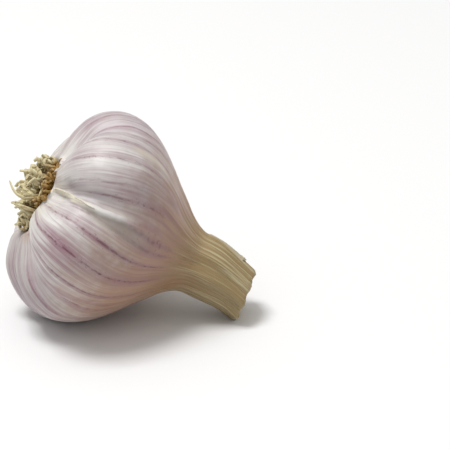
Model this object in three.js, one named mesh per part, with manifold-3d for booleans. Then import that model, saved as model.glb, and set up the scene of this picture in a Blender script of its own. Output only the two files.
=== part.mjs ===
// A garlic bulb lying on its side, as picked, dried and trimmed.
// One grown body holds the cloves in their papery skin and runs on into the dried neck. A root plate with
// its tuft of dried roots sits in the hollow between the clove shoulders, and torn remnants of the
// outermost wrapper leaf cling to the skin.
// Millimetres, +Z up, +X from the roots to the neck. The origin is on the ground under the middle.

import * as THREE from 'three';
import { mergeVertices } from 'three/addons/utils/BufferGeometryUtils.js';
import Module from 'manifold-3d';

const wasm = await Module();
wasm.setup();

const { clamp, degToRad, euclideanModulo, lerp, smoothstep } = THREE.MathUtils;

// Outline of the bulb: radius, and distance along the axis from the root plate towards the neck
const SEAT_RADIUS = 9.6;
const SEAT_AT = 1.4;
const SHOULDER_RADIUS = 12.5;
const SHOULDER_AT = -2.6;
const BELLY_RADIUS = 30;
const BELLY_AT = 12;
const BELLY_FULLNESS = 0.47;
const NECK_RADIUS = 8.4;
const NECK_AT = 44;
const NECK_FULLNESS = 0.25;
const NECK_END_RADIUS = 7.2;
const NECK_END_AT = 60;
const NECK_RIM = 0.8;
const NECK_HOLLOW = 1.8;
const NECK_DROOP = 3.5;
const QUARTER_ROUND = 0.5523;

// Clove lobes: the angle of each valley round the axis, and its depth as a share of VALLEY_DEPTH.
// Angles are degrees from the front, -Y, over the top, so the bulb rests on the two lobes beside -90.
const VALLEYS = [
  { at: -90, share: 0.85 },
  { at: -62, share: 0.65 },
  { at: -28, share: 1 },
  { at: 36, share: 1.15 },
  { at: 90, share: 0.85 },
  { at: 137, share: 0.95 },
  { at: 183, share: 0.8 },
  { at: 229, share: 1 },
];
const VALLEY_DEPTH = 3.6;
const VALLEY_SOFTNESS = 0.2;

// Stretches along the skin, measured from the rim of the root plate's seat
const VALLEY_FULL_BY = 7;
const VALLEY_FADES_FROM = 10;
const VALLEY_GONE_BY = 56;
const SLANT_FADES_FROM = 10;
const SLANT_GONE_BY = 26;
const FLUTES_FROM = 58;
const FLUTES_FULL_BY = 72;

const CREST_SWELL = 0.45;
const SHOULDER_SLANT = 2.2;
const SLANT_TURN = 36;
const FLUTE_DEPTH = 0.3;
const FLUTE_COUNT = 7;

// Root plate and its tuft
const PLATE_RADIUS = 9;
const PLATE_CROWN = 1.6;
const ROOT_COUNT = 46;
const ROOT_RADIUS = 0.65;
const ROOT_SIDES = 5;
const ROOT_LENGTH = 9;
const ROOT_LEAN = 26;
const ROOT_CURL = 2.6;
const ROOT_SEED = 11;

// Remnants of the wrapper leaf: the angles and the shares of the outline that each one covers, how much it
// narrows along its length, how far its torn edge waves in degrees, and how far it stands off the skin
const WRAPPERS = {
  wrapper_front: { angles: [33, 42], shares: [0.165, 0.41], taper: 0.7, ragged: 1.5, lifted: 0.5 },
  wrapper_neck: { angles: [92, 140], shares: [0.765, 0.89], taper: 0.2, ragged: 6, lifted: 0.6 },
};

// Fit, rest and facets
const GAP = 0.3;
const BLADE = 0.6;
const FLAT_CUT = 0.45;
const AROUND = 88;
const BLADE_ROWS = 12;
const BLADE_COLUMNS = 6;
const OUTLINE_ROWS = [1, 4, 11, 14, 5, 2, 3];

const SKIN = { color: 0xcdc0c4, roughness: 0.55, metalness: 0 };
const WRAPPER = { color: 0xbfb1b8, roughness: 0.5, metalness: 0 };
const ROOT = { color: 0xb9a26a, roughness: 0.85, metalness: 0 };

// The outline as a path: seat, hollow, shoulder to belly, belly to neck, neck, rim, cut end
const outline = new THREE.Path();
outline.moveTo(0, SEAT_AT);
outline.lineTo(SEAT_RADIUS, SEAT_AT);
outline.bezierCurveTo(
  SEAT_RADIUS, lerp(SEAT_AT, SHOULDER_AT, QUARTER_ROUND),
  lerp(SHOULDER_RADIUS, SEAT_RADIUS, QUARTER_ROUND), SHOULDER_AT,
  SHOULDER_RADIUS, SHOULDER_AT,
);
outline.bezierCurveTo(
  lerp(SHOULDER_RADIUS, BELLY_RADIUS, QUARTER_ROUND), SHOULDER_AT,
  BELLY_RADIUS, lerp(BELLY_AT, SHOULDER_AT, QUARTER_ROUND),
  BELLY_RADIUS, BELLY_AT,
);
outline.bezierCurveTo(
  BELLY_RADIUS, lerp(BELLY_AT, NECK_AT, BELLY_FULLNESS),
  NECK_RADIUS, lerp(NECK_AT, BELLY_AT, NECK_FULLNESS),
  NECK_RADIUS, NECK_AT,
);
outline.bezierCurveTo(
  NECK_RADIUS, lerp(NECK_AT, NECK_END_AT, QUARTER_ROUND),
  NECK_END_RADIUS, lerp(NECK_END_AT, NECK_AT, QUARTER_ROUND),
  NECK_END_RADIUS, NECK_END_AT - NECK_RIM,
);
outline.quadraticCurveTo(
  NECK_END_RADIUS, NECK_END_AT,
  NECK_END_RADIUS - NECK_RIM, NECK_END_AT,
);
outline.bezierCurveTo(
  NECK_END_RADIUS / 2, NECK_END_AT,
  NECK_END_RADIUS / 2, NECK_END_AT - NECK_HOLLOW,
  0, NECK_END_AT - NECK_HOLLOW,
);
const OUTLINE_LENGTH = outline.getLength();
const OUTLINE_ENDS = outline.getCurveLengths();
const SEAT_ARC = OUTLINE_ENDS[0];

// Seeded random numbers from 0 to 1
function randomStream(seed) {
  let state = seed >>> 0;
  return () => {
    state = (state + 0x6d2b79f5) >>> 0;
    let mixed = Math.imul(state ^ (state >>> 15), state | 1);
    mixed ^= mixed + Math.imul(mixed ^ (mixed >>> 7), mixed | 61);
    return ((mixed ^ (mixed >>> 14)) >>> 0) / 2 ** 32;
  };
}

// Counts the valleys passed on the way round to an angle, so every valley falls on a whole number
function valleysPassed(angle) {
  const first = VALLEYS[0].at;
  const turned = first + euclideanModulo(angle - first, 360);
  return VALLEYS.reduce((sum, valley, k) => {
    const next = k + 1 < VALLEYS.length ? VALLEYS[k + 1].at : first + 360;
    return sum + clamp((turned - valley.at) / (next - valley.at), 0, 1);
  }, 0);
}

// Height of the skin over its outline: valleys between the cloves, which fade towards the neck, clove crests
// that swell unevenly, shoulders that stand further out below than above, and shallow flutes on the neck
function skinRelief(angle, arc) {
  const turn = degToRad(angle);
  const passed = valleysPassed(angle);
  const nearest = Math.round(passed);
  const crestward = Math.abs(passed - nearest) * 2;
  const share = lerp(VALLEYS[nearest % VALLEYS.length].share, 1, crestward ** 2);
  const fold = Math.hypot(Math.sin(Math.PI * passed), VALLEY_SOFTNESS) - VALLEY_SOFTNESS;
  const foldAtCrest = Math.hypot(1, VALLEY_SOFTNESS) - VALLEY_SOFTNESS;
  const valley = VALLEY_DEPTH * share * (1 - fold / foldAtCrest);
  const swell = CREST_SWELL * (Math.sin(3 * turn + 0.6) + Math.sin(5 * turn + 2));
  const slant = SHOULDER_SLANT * Math.sin(turn + degToRad(SLANT_TURN));
  const flute = FLUTE_DEPTH * Math.sin(FLUTE_COUNT * turn + 2 * Math.sin(turn));
  const begun = smoothstep(arc, 0, VALLEY_FULL_BY);
  return begun * (1 - smoothstep(arc, VALLEY_FADES_FROM, VALLEY_GONE_BY)) * (swell - valley)
    - begun * (1 - smoothstep(arc, SLANT_FADES_FROM, SLANT_GONE_BY)) * slant
    + smoothstep(arc, FLUTES_FROM, FLUTES_FULL_BY) * flute;
}

// A point on the skin, at an angle round the axis, a share of the outline's length, and a lift off the skin
function skinPoint(angle, share, lift = 0) {
  const at = outline.getPoint(share);
  const along = outline.getTangent(share);
  const arc = share * OUTLINE_LENGTH - SEAT_ARC;
  const onSide = share * OUTLINE_LENGTH < OUTLINE_ENDS[4] ? 1 : (at.x / NECK_END_RADIUS) ** 3;
  const height = skinRelief(angle, arc) * onSide + lift;
  const radius = at.x + along.y * height;
  const axial = at.y - along.x * height;
  const drooped = Math.max(0, axial - NECK_AT) / (NECK_END_AT - NECK_AT);
  const turn = degToRad(angle);
  return new THREE.Vector3(
    axial,
    -radius * Math.cos(turn),
    radius * Math.sin(turn) - NECK_DROOP * drooped ** 2,
  );
}

// Closed solid of a geometry, with its shared vertices merged and its collapsed triangles dropped
function solidOf(geometry) {
  geometry.deleteAttribute('normal');
  geometry.deleteAttribute('uv');
  const merged = mergeVertices(geometry);
  const corners = merged.index.array;
  const kept = [];
  for (let i = 0; i < corners.length; i += 3) {
    const [a, b, c] = corners.slice(i, i + 3);
    if (a !== b && b !== c && c !== a) kept.push(a, b, c);
  }
  return new wasm.Manifold(new wasm.Mesh({
    numProp: 3,
    vertProperties: new Float32Array(merged.attributes.position.array),
    triVerts: new Uint32Array(kept),
  }));
}

function geometryOf(solid) {
  const { vertProperties, triVerts } = solid.getMesh();
  const geometry = new THREE.BufferGeometry();
  geometry.setAttribute('position', new THREE.BufferAttribute(vertProperties, 3));
  geometry.setIndex(new THREE.BufferAttribute(triVerts, 1));
  geometry.computeVertexNormals();
  return geometry;
}

// The cloves in their skin and the neck: a lathe of the outline, with every vertex moved onto the lobed skin
function bulbGeometry() {
  const shares = [0];
  OUTLINE_ROWS.forEach((rows, k) => {
    const start = k ? OUTLINE_ENDS[k - 1] : 0;
    for (let row = 1; row <= rows; row++) {
      shares.push(lerp(start, OUTLINE_ENDS[k], row / rows) / OUTLINE_LENGTH);
    }
  });
  const lathe = new THREE.LatheGeometry(shares.map((share) => outline.getPoint(share)), AROUND);
  const position = lathe.attributes.position;
  for (let i = 0; i < position.count; i++) {
    const column = Math.floor(i / shares.length) % AROUND;
    const point = skinPoint(180 - (360 * column) / AROUND, shares[i % shares.length]);
    position.setXYZ(i, point.x, point.y, point.z);
  }
  return lathe;
}

// Root plate: a low crowned disc in its seat
function plateGeometry() {
  const back = SEAT_AT - GAP;
  const plate = new THREE.LatheGeometry([
    new THREE.Vector2(0, -PLATE_CROWN),
    new THREE.Vector2(PLATE_RADIUS * 0.6, -PLATE_CROWN * 0.8),
    new THREE.Vector2(PLATE_RADIUS * 0.95, 0),
    new THREE.Vector2(PLATE_RADIUS, back / 2),
    new THREE.Vector2(PLATE_RADIUS, back),
    new THREE.Vector2(0, back),
  ], 24);
  return plate.rotateZ(-Math.PI / 2);
}

// One dried root: it starts inside the plate, leans out and curls to one side, kept clear of the shoulders
function rootGeometry(index, random) {
  const spread = Math.sqrt((index + 0.5) / ROOT_COUNT);
  const around = index * Math.PI * (3 - Math.sqrt(5));
  const lean = degToRad(ROOT_LEAN) * (spread + 0.5 * (random() - 0.5));
  const length = ROOT_LENGTH * lerp(0.7, 1.1, random());
  const curl = ROOT_CURL * lerp(-1, 1, random());
  const bow = ROOT_CURL * lerp(-1, 1, random());
  const outward = new THREE.Vector2(Math.cos(around), Math.sin(around));
  const sideways = new THREE.Vector2(-outward.y, outward.x);
  const points = [];
  for (const part of [0, 0.25, 0.5, 0.75, 1]) {
    const axial = SEAT_AT / 2 - length * part * Math.cos(lean * part);
    const across = new THREE.Vector2()
      .addScaledVector(outward, 0.88 * spread * PLATE_RADIUS + length * part * Math.sin(lean) + bow * part ** 2)
      .addScaledVector(sideways, curl * Math.sin(part * Math.PI * 0.9))
      .clampLength(0, PLATE_RADIUS - ROOT_RADIUS - 0.1 + 0.35 * Math.max(0, -axial));
    points.push(new THREE.Vector3(axial, across.x, across.y));
  }
  const corners = Array.from({ length: ROOT_SIDES }, (_, k) => {
    const turn = (2 * Math.PI * k) / ROOT_SIDES;
    return new THREE.Vector2(Math.cos(turn), Math.sin(turn)).multiplyScalar(ROOT_RADIUS);
  });
  return new THREE.ExtrudeGeometry(new THREE.Shape(corners), {
    extrudePath: new THREE.CatmullRomCurve3(points),
    steps: 6,
    bevelEnabled: false,
  });
}

function tuftGeometry() {
  const random = randomStream(ROOT_SEED);
  const pieces = [solidOf(plateGeometry())];
  for (let index = 0; index < ROOT_COUNT; index++) pieces.push(solidOf(rootGeometry(index, random)));
  return geometryOf(wasm.Manifold.union(pieces));
}

// A remnant of the wrapper leaf: a thin blade that follows the skin and lifts off it towards its torn edges
function wrapperGeometry({ angles, shares, taper, ragged, lifted }) {
  const blade = new THREE.BoxGeometry(1, 1, 1, BLADE_ROWS, BLADE_COLUMNS, 1);
  const position = blade.attributes.position;
  for (let i = 0; i < position.count; i++) {
    const along = position.getX(i) + 0.5;
    const across = position.getY(i) + 0.5;
    const tear = ragged * Math.sin(9 * along) * Math.sin(23 * along + 1) * (1 - across);
    const notch = 0.012 * Math.sin(11 * across) * (2 * along - 1);
    const free = Math.max(1 - across, along) ** 3;
    const outer = position.getZ(i) > 0 ? BLADE : 0;
    const width = 1 - taper * along ** 2;
    const point = skinPoint(
      lerp(...angles, across * width) + tear,
      lerp(...shares, along) + notch,
      1.5 * GAP + outer + lifted * free,
    );
    position.setXYZ(i, point.x, point.y, point.z);
  }
  return blade;
}

// The tilt at which the belly and the neck are equally low, so the bulb leans on both
function restTilt(geometry) {
  const position = geometry.attributes.position;
  const neckClearance = (tilt) => {
    const low = { belly: Infinity, neck: Infinity };
    for (let i = 0; i < position.count; i++) {
      const height = position.getZ(i) * Math.cos(tilt) - position.getX(i) * Math.sin(tilt);
      const side = position.getX(i) < NECK_AT ? 'belly' : 'neck';
      low[side] = Math.min(low[side], height);
    }
    return low.neck - low.belly;
  };
  let flat = 0;
  let steep = Math.PI / 4;
  for (let step = 0; step < 30; step++) {
    const tilt = (flat + steep) / 2;
    if (neckClearance(tilt) > 0) flat = tilt;
    else steep = tilt;
  }
  return flat;
}

// Ground under the bulb, as a block in the bulb's own frame, which trims its lowest points flat
function groundGeometry(pose) {
  const side = 4 * BELLY_RADIUS;
  const ground = new THREE.BoxGeometry(side, side, side);
  ground.translate(0, 0, -side / 2);
  return ground.applyMatrix4(pose.clone().invert());
}

function named(name, geometry, finish) {
  const mesh = new THREE.Mesh(geometry, new THREE.MeshStandardMaterial(finish));
  mesh.name = name;
  return mesh;
}

const body = bulbGeometry();
const lying = new THREE.Group();
lying.rotation.y = restTilt(body);
lying.updateMatrix();
const standing = body.clone().applyMatrix4(lying.matrix);
standing.computeBoundingBox();
lying.position.z = -standing.boundingBox.min.z - FLAT_CUT;
lying.updateMatrix();
const trimmed = solidOf(body).subtract(solidOf(groundGeometry(lying.matrix)));

lying.add(named('bulb', geometryOf(trimmed), SKIN));
lying.add(named('root_tuft', tuftGeometry(), ROOT));
for (const [name, shape] of Object.entries(WRAPPERS)) {
  lying.add(named(name, geometryOf(solidOf(wrapperGeometry(shape))), WRAPPER));
}

const garlic = new THREE.Group();
garlic.add(lying);
garlic.updateMatrixWorld(true);
const reach = new THREE.Box3().setFromObject(garlic, true);
lying.position.x -= (reach.min.x + reach.max.x) / 2;
lying.position.y -= (reach.min.y + reach.max.y) / 2;

export default garlic;
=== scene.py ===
import math

import bpy
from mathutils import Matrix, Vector


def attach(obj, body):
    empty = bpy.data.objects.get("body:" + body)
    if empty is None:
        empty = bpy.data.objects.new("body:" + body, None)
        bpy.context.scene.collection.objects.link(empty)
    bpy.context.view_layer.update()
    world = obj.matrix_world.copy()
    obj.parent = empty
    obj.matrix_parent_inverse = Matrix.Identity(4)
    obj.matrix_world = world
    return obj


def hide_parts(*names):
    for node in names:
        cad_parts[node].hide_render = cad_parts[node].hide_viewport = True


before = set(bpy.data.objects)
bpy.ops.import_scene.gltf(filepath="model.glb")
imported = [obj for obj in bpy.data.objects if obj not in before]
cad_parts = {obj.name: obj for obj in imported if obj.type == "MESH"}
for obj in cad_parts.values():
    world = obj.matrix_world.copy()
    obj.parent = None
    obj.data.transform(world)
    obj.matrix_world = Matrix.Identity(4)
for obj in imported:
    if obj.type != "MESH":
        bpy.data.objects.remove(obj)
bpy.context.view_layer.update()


# Bulb skin
# The cloves of a whole head of garlic under their dry papery skin, which narrows into the neck.
# It grew as one lobed body, and it lies on its belly and on the lower rim of its neck.
MM = 0.001
SEAT_RADIUS = 9.6 * MM
SEAT_AT = 1.4 * MM
SHOULDER_RADIUS = 12.5 * MM
SHOULDER_AT = -2.6 * MM
BELLY_RADIUS = 30 * MM
BELLY_AT = 12 * MM
BELLY_FULLNESS = 0.47
NECK_RADIUS = 8.4 * MM
NECK_AT = 44 * MM
NECK_FULLNESS = 0.25
NECK_END_RADIUS = 7.2 * MM
NECK_END_AT = 60 * MM
NECK_RIM = 0.8 * MM
NECK_HOLLOW = 1.8 * MM
NECK_DROOP = 3.5 * MM
QUARTER_ROUND = 0.5523
RIM_ROUND = 2 / 3
OUTLINE_STEPS = 64

# Valleys between the cloves: degrees round the axis from the front over the top, and share of the full depth
VALLEYS = ((-90, 0.85), (-62, 0.65), (-28, 1), (36, 1.15), (90, 0.85), (137, 0.95), (183, 0.8), (229, 1))
VALLEY_DEPTH = 3.6 * MM
VALLEY_SOFTNESS = 0.2

# Uneven crests as waves round the bulb with their start in radians, slanting shoulders, flutes on the neck
CREST_SWELL = 0.45 * MM
SWELL_WAVES = ((3, 0.6), (5, 2))
SHOULDER_SLANT = 2.2 * MM
SLANT_TURN = 36
FLUTE_DEPTH = 0.3 * MM
FLUTE_COUNT = 7
FLUTE_SWAY = 2

# Where these forms come in and die away, along the skin from the edge of the root seat
CRESTS_COME_IN = (0, 7 * MM)
VALLEYS_COME_IN = (1 * MM, 11 * MM)
LOBES_DIE_AWAY = (10 * MM, 56 * MM)
SLANT_DIES_AWAY = (10 * MM, 26 * MM)
FLUTES_COME_IN = (58 * MM, 72 * MM)

# Finer relief: pleats gathered round the roots, veins, soft dents, creases of the neck and rings on its end.
# A noise is given by its waves round the bulb, its waves per metre along it, its detail and its shift.
PLEAT_NOISE = (5.5, 40, 3)
PLEATS_COME_IN = (0.5 * MM, 4 * MM)
PLEATS_DIE_AWAY = (9 * MM, 24 * MM)
VEIN_NOISE = (17, 24, 2)
VEINS_COME_IN = (2 * MM, 8 * MM)
NECK_VEINS_COME_IN = (52 * MM, 66 * MM)
DENT_NOISE = (2.2, 70, 1)
DENTS_COME_IN = (6 * MM, 16 * MM)
DENTS_DIE_AWAY = (60 * MM, 72 * MM)
CREASE_NOISE = (3.2, 55, 3, 7)
CREASES_COME_IN = (50 * MM, 66 * MM)
RING_WAVES = 900
RING_WOBBLE = 0.8
RINGS_COME_IN = (84.5 * MM, 87 * MM)
END_FADE = 3

# The rim round the roots is cut down on the side that faces the front: middle and width in degrees,
# level, slope and softness of the cut, and how far out it lies where the rim stays whole
OPEN_RIM_ANGLE = 46
OPEN_RIM_WIDTH = 36
OPEN_RIM_LEVEL = 1.2 * MM
OPEN_RIM_SLOPE = 0.38
OPEN_RIM_SOFTNESS = 1.2 * MM
CLOSED_RIM_RISE = 7 * MM

# The tear in the outer skin along the front valley: a raised lip with a hollow above it, and below it
# a wedge where the skin has gone and the layer under it shows. Angles are in degrees.
LIP_ANGLE = 34.5
LIP_BEND = 7.5
LIP_BEND_DIES_AWAY = (4 * MM, 28 * MM)
LIP_FOOT = (-4.6, -0.8)
LIP_EDGE = (0.3, 1.6)
LIP_COMES_IN = (2 * MM, 8 * MM)
LIP_DIES_AWAY = (32 * MM, 48 * MM)
LIP_WANDER = 4
LIP_WANDER_WAVES = 110
LIP_WANDER_SEED = 3
LIP_BREAK_WAVES = 200
LIP_BREAK_SEED = 8
LIP_BREAKS = (0.1, 0.5)
HOLLOW_ABOVE_LIP = (5.0, 4.2)
HOLLOW_COMES_IN = (8 * MM, 16 * MM)
HOLLOW_DIES_AWAY = (28 * MM, 48 * MM)
TEAR_FROM = 23 * MM
TEAR_TO = 44 * MM
TEAR_SPREAD = 10
TEAR_BELOW_LIP = 2.4
TEAR_FOOT = (-1.2, 1.2)
TEAR_EDGE = (-2.6, -1.4)
TEAR_OPENS = (0.0, 0.2)
TEAR_CLOSES = (0.7, 1.5)

RELIEF_SIZES = {
    "Pleat Depth": 0.4 * MM,
    "Vein Height": 0.15 * MM,
    "Dent Depth": 0.7 * MM,
    "Neck Crease": 0.6 * MM,
    "Ring Height": 0.5 * MM,
    "Lip Height": 0.9 * MM,
    "Hollow Depth": 0.9 * MM,
    "Tear Depth": 0.5 * MM,
}

# How it lies: the tilt of its axis, and where the axis leaves the root plate
REST_TILT = math.radians(23.159)
AXIS_START = Vector((-22.973, 0.751, 32.791)) * MM

SKIN_POINTS = {"Columns": 520, "Rows": 188}
SEAM_GAP = 0.001 * MM


def feed(slot, value):
    """Links a field to a node's input, or sets a plain value on it."""
    if isinstance(value, Field):
        slot.id_data.links.new(value.socket, slot)
    else:
        slot.default_value = value


def add_node(tree, kind, inputs=None, **settings):
    """Adds a node, with its settings by name and its inputs by name or number."""
    node = tree.nodes.new(kind)
    for name, value in settings.items():
        setattr(node, name, value)
    for slot, value in (inputs or {}).items():
        feed(node.inputs[slot], value)
    return node


def result(tree, kind, inputs=None, output=0, **settings):
    """Adds a node in the same way, and gives one of its outputs."""
    return Field(tree, add_node(tree, kind, inputs, **settings).outputs[output])


class Field:
    """A value that varies over a piece, held as a socket, so that a shape is written as arithmetic."""

    def __init__(self, tree, socket):
        self.tree = tree
        self.socket = socket

    def math(self, operation, *others):
        values = dict(enumerate((self, *others)))
        return result(self.tree, "ShaderNodeMath", values, operation=operation)

    def __add__(self, other):
        return self.math("ADD", other)

    def __sub__(self, other):
        return self.math("SUBTRACT", other)

    def __mul__(self, other):
        return self.math("MULTIPLY", other)

    def __truediv__(self, other):
        return self.math("DIVIDE", other)

    def __pow__(self, power):
        return self.math("POWER", power)

    def __neg__(self):
        return self * -1

    def __rsub__(self, other):
        return -self + other

    __radd__ = __add__
    __rmul__ = __mul__

    def sine(self):
        return self.math("SINE")

    def cosine(self):
        return self.math("COSINE")

    def rising(self, start, end):
        """0 before the start, 1 after the end, smooth between them."""
        values = {0: self, 1: start, 2: end}
        return result(self.tree, "ShaderNodeMapRange", values, interpolation_type="SMOOTHSTEP")

    def falling(self, start, end):
        """1 before the start, 0 after the end, smooth between them."""
        return 1 - self.rising(start, end)

    def bump(self, middle, width):
        """1 at the middle, dying away on both sides of it."""
        off = (self - middle) / width
        return (-(off * off)).math("EXPONENT")

    def split(self):
        """The three numbers of a vector."""
        node = add_node(self.tree, "ShaderNodeSeparateXYZ", {0: self})
        return [Field(self.tree, socket) for socket in node.outputs]


def vector(tree, x, y, z):
    """Three numbers as a vector."""
    return result(tree, "ShaderNodeCombineXYZ", {0: x, 1: y, 2: z})


def cloudy(tree, place, detail=2.0, colour=False):
    """Smooth random values about 0.5, one number or three."""
    inputs = {"Vector": place, "Scale": 1.0, "Detail": detail}
    return result(tree, "ShaderNodeTexNoise", inputs, "Color" if colour else 0)


def size_sockets(sizes):
    """Named inputs for sizes and counts, each with its value."""
    kinds = {int: "NodeSocketInt", float: "NodeSocketFloat"}
    return {label: (kinds[type(value)], value) for label, value in sizes.items()}


def new_tree(name, kind, inputs, outputs):
    """An empty node group with named sockets: inputs as name: (type, value), outputs as name: type."""
    tree = bpy.data.node_groups.new(name, kind)
    for label, (socket_type, value) in inputs.items():
        socket = tree.interface.new_socket(label, in_out="INPUT", socket_type=socket_type)
        if value is not None:
            socket.default_value = value
    for label, socket_type in outputs.items():
        tree.interface.new_socket(label, in_out="OUTPUT", socket_type=socket_type)
    start = tree.nodes.new("NodeGroupInput")
    end = tree.nodes.new("NodeGroupOutput")
    given = {label: Field(tree, start.outputs[label]) for label in inputs}
    return tree, given, end.inputs


def between(start, end, share):
    """The value at a share of the way from the start to the end."""
    return start + (end - start) * share


def bulb_outline():
    """Half section of the bulb as a curve: radius along X, distance from the root plate along Y."""
    rim_at = NECK_END_AT - NECK_RIM
    rim_radius = NECK_END_RADIUS - NECK_RIM
    half_end = NECK_END_RADIUS / 2
    hollow_at = NECK_END_AT - NECK_HOLLOW
    corners = (
        ((0, SEAT_AT), (0, SEAT_AT), (SEAT_RADIUS / 3, SEAT_AT)),
        ((SEAT_RADIUS * 2 / 3, SEAT_AT), (SEAT_RADIUS, SEAT_AT),
         (SEAT_RADIUS, between(SEAT_AT, SHOULDER_AT, QUARTER_ROUND))),
        ((between(SHOULDER_RADIUS, SEAT_RADIUS, QUARTER_ROUND), SHOULDER_AT), (SHOULDER_RADIUS, SHOULDER_AT),
         (between(SHOULDER_RADIUS, BELLY_RADIUS, QUARTER_ROUND), SHOULDER_AT)),
        ((BELLY_RADIUS, between(BELLY_AT, SHOULDER_AT, QUARTER_ROUND)), (BELLY_RADIUS, BELLY_AT),
         (BELLY_RADIUS, between(BELLY_AT, NECK_AT, BELLY_FULLNESS))),
        ((NECK_RADIUS, between(NECK_AT, BELLY_AT, NECK_FULLNESS)), (NECK_RADIUS, NECK_AT),
         (NECK_RADIUS, between(NECK_AT, NECK_END_AT, QUARTER_ROUND))),
        ((NECK_END_RADIUS, between(NECK_END_AT, NECK_AT, QUARTER_ROUND)), (NECK_END_RADIUS, rim_at),
         (NECK_END_RADIUS, between(rim_at, NECK_END_AT, RIM_ROUND))),
        ((between(rim_radius, NECK_END_RADIUS, RIM_ROUND), NECK_END_AT), (rim_radius, NECK_END_AT),
         (half_end, NECK_END_AT)),
        ((half_end, hollow_at), (0, hollow_at), (0, hollow_at)),
    )
    curve = bpy.data.curves.new("bulb outline", "CURVE")
    curve.dimensions = "3D"
    curve.resolution_u = OUTLINE_STEPS
    spline = curve.splines.new("BEZIER")
    spline.bezier_points.add(len(corners) - 1)
    for point, (before, at, after) in zip(spline.bezier_points, corners):
        point.handle_left_type = point.handle_right_type = "FREE"
        point.handle_left = (*before, 0)
        point.co = (*at, 0)
        point.handle_right = (*after, 0)
    outline = bpy.data.objects.new("bulb outline", curve)
    bpy.context.collection.objects.link(outline)
    return outline


def lobes(angle, arc):
    """Height of the skin over its outline: valleys, uneven crests, slanting shoulders and neck flutes."""
    first = VALLEYS[0][0]
    turned = angle.math("WRAP", first + 360, first)
    ends = [at for at, _ in VALLEYS[1:]] + [first + 360]
    passed = 0
    for (at, _), end in zip(VALLEYS, ends):
        passed = passed + ((turned - at) / (end - at)).math("MAXIMUM", 0).math("MINIMUM", 1)
    nearest = passed.math("ROUND")
    crestward = (passed - nearest).math("ABSOLUTE") * 2
    count = len(VALLEYS)
    valley_share = 0
    for index, (_, share) in enumerate(VALLEYS):
        valley_share = valley_share + nearest.math("WRAP", count, 0).math("COMPARE", index, 0.5) * share
    depth_share = valley_share + (1 - valley_share) * crestward * crestward
    across = (passed * math.pi).sine()
    fold = (across * across + VALLEY_SOFTNESS ** 2).math("SQRT") - VALLEY_SOFTNESS
    fold_at_crest = math.hypot(1, VALLEY_SOFTNESS) - VALLEY_SOFTNESS
    valley = depth_share * (1 - fold / fold_at_crest) * VALLEY_DEPTH
    turn = angle.math("RADIANS")
    swell = sum((turn * waves + start).sine() for waves, start in SWELL_WAVES) * CREST_SWELL
    slant = (turn + math.radians(SLANT_TURN)).sine() * SHOULDER_SLANT
    flute = (turn * FLUTE_COUNT + turn.sine() * FLUTE_SWAY).sine() * FLUTE_DEPTH
    begun = arc.rising(*CRESTS_COME_IN)
    clove_height = arc.falling(*LOBES_DIE_AWAY) * (begun * swell - arc.rising(*VALLEYS_COME_IN) * valley)
    shoulder_height = begun * arc.falling(*SLANT_DIES_AWAY) * slant
    return clove_height - shoulder_height + arc.rising(*FLUTES_COME_IN) * flute


def lying(axial, across, upward):
    """A point of the bulb's own axes, turned and moved to where the bulb lies."""
    x = axial * math.cos(REST_TILT) + upward * math.sin(REST_TILT) + AXIS_START.x
    z = upward * math.cos(REST_TILT) - axial * math.sin(REST_TILT) + AXIS_START.z
    return x, across + AXIS_START.y, z


skin_surface, given, made = new_tree(
    "bulb skin surface",
    "GeometryNodeTree",
    {
        "Outline": ("NodeSocketGeometry", None),
        "Angle": ("NodeSocketFloat", 0.0),
        "Share": ("NodeSocketFloat", 0.0),
        "Lift": ("NodeSocketFloat", 0.0),
        **size_sockets(RELIEF_SIZES),
    },
    {"Position": "NodeSocketVector", "Place": "NodeSocketVector", "Edges": "NodeSocketVector"},
)
at_share = {"Curves": given["Outline"], "Factor": given["Share"]}
sampled = add_node(skin_surface, "GeometryNodeSampleCurve", at_share, mode="FACTOR")
outline_length = result(skin_surface, "GeometryNodeCurveLength", {"Curve": given["Outline"]})
outline_radius, outline_axial, _ = Field(skin_surface, sampled.outputs["Position"]).split()
tangent_radius, tangent_axial, _ = Field(skin_surface, sampled.outputs["Tangent"]).split()
arc = given["Share"] * outline_length - SEAT_RADIUS
angle = given["Angle"]
turn = angle.math("RADIANS")
cosine = turn.cosine()
sine = turn.sine()


def ripples(round_waves, along_waves, detail, shift=0):
    """Random heights over the skin, from -1 to 1."""
    place = vector(skin_surface, cosine * round_waves, sine * round_waves, arc * along_waves + shift)
    return (cloudy(skin_surface, place, detail) - 0.5) * 2


def along_lip(waves, seed):
    """Random values about 0.5 that change along the lip alone."""
    return cloudy(skin_surface, vector(skin_surface, arc * waves, seed, 1), 2)


lip_wander = (along_lip(LIP_WANDER_WAVES, LIP_WANDER_SEED) - 0.5) * LIP_WANDER
above_lip = angle + lip_wander - LIP_ANGLE - arc.falling(*LIP_BEND_DIES_AWAY) * LIP_BEND
lip = above_lip.rising(*LIP_FOOT) * above_lip.falling(*LIP_EDGE)
lip = lip * arc.rising(*LIP_COMES_IN) * arc.falling(*LIP_DIES_AWAY)
lip = lip * along_lip(LIP_BREAK_WAVES, LIP_BREAK_SEED).rising(*LIP_BREAKS)
hollow = above_lip.bump(*HOLLOW_ABOVE_LIP) * arc.rising(*HOLLOW_COMES_IN) * arc.falling(*HOLLOW_DIES_AWAY)
torn_share = (arc - TEAR_FROM) / (TEAR_TO - TEAR_FROM)
tear = (above_lip + TEAR_BELOW_LIP + torn_share * TEAR_SPREAD).rising(*TEAR_FOOT)
tear = tear * above_lip.falling(*TEAR_EDGE)
tear = tear * torn_share.rising(*TEAR_OPENS) * torn_share.falling(*TEAR_CLOSES)

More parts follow.
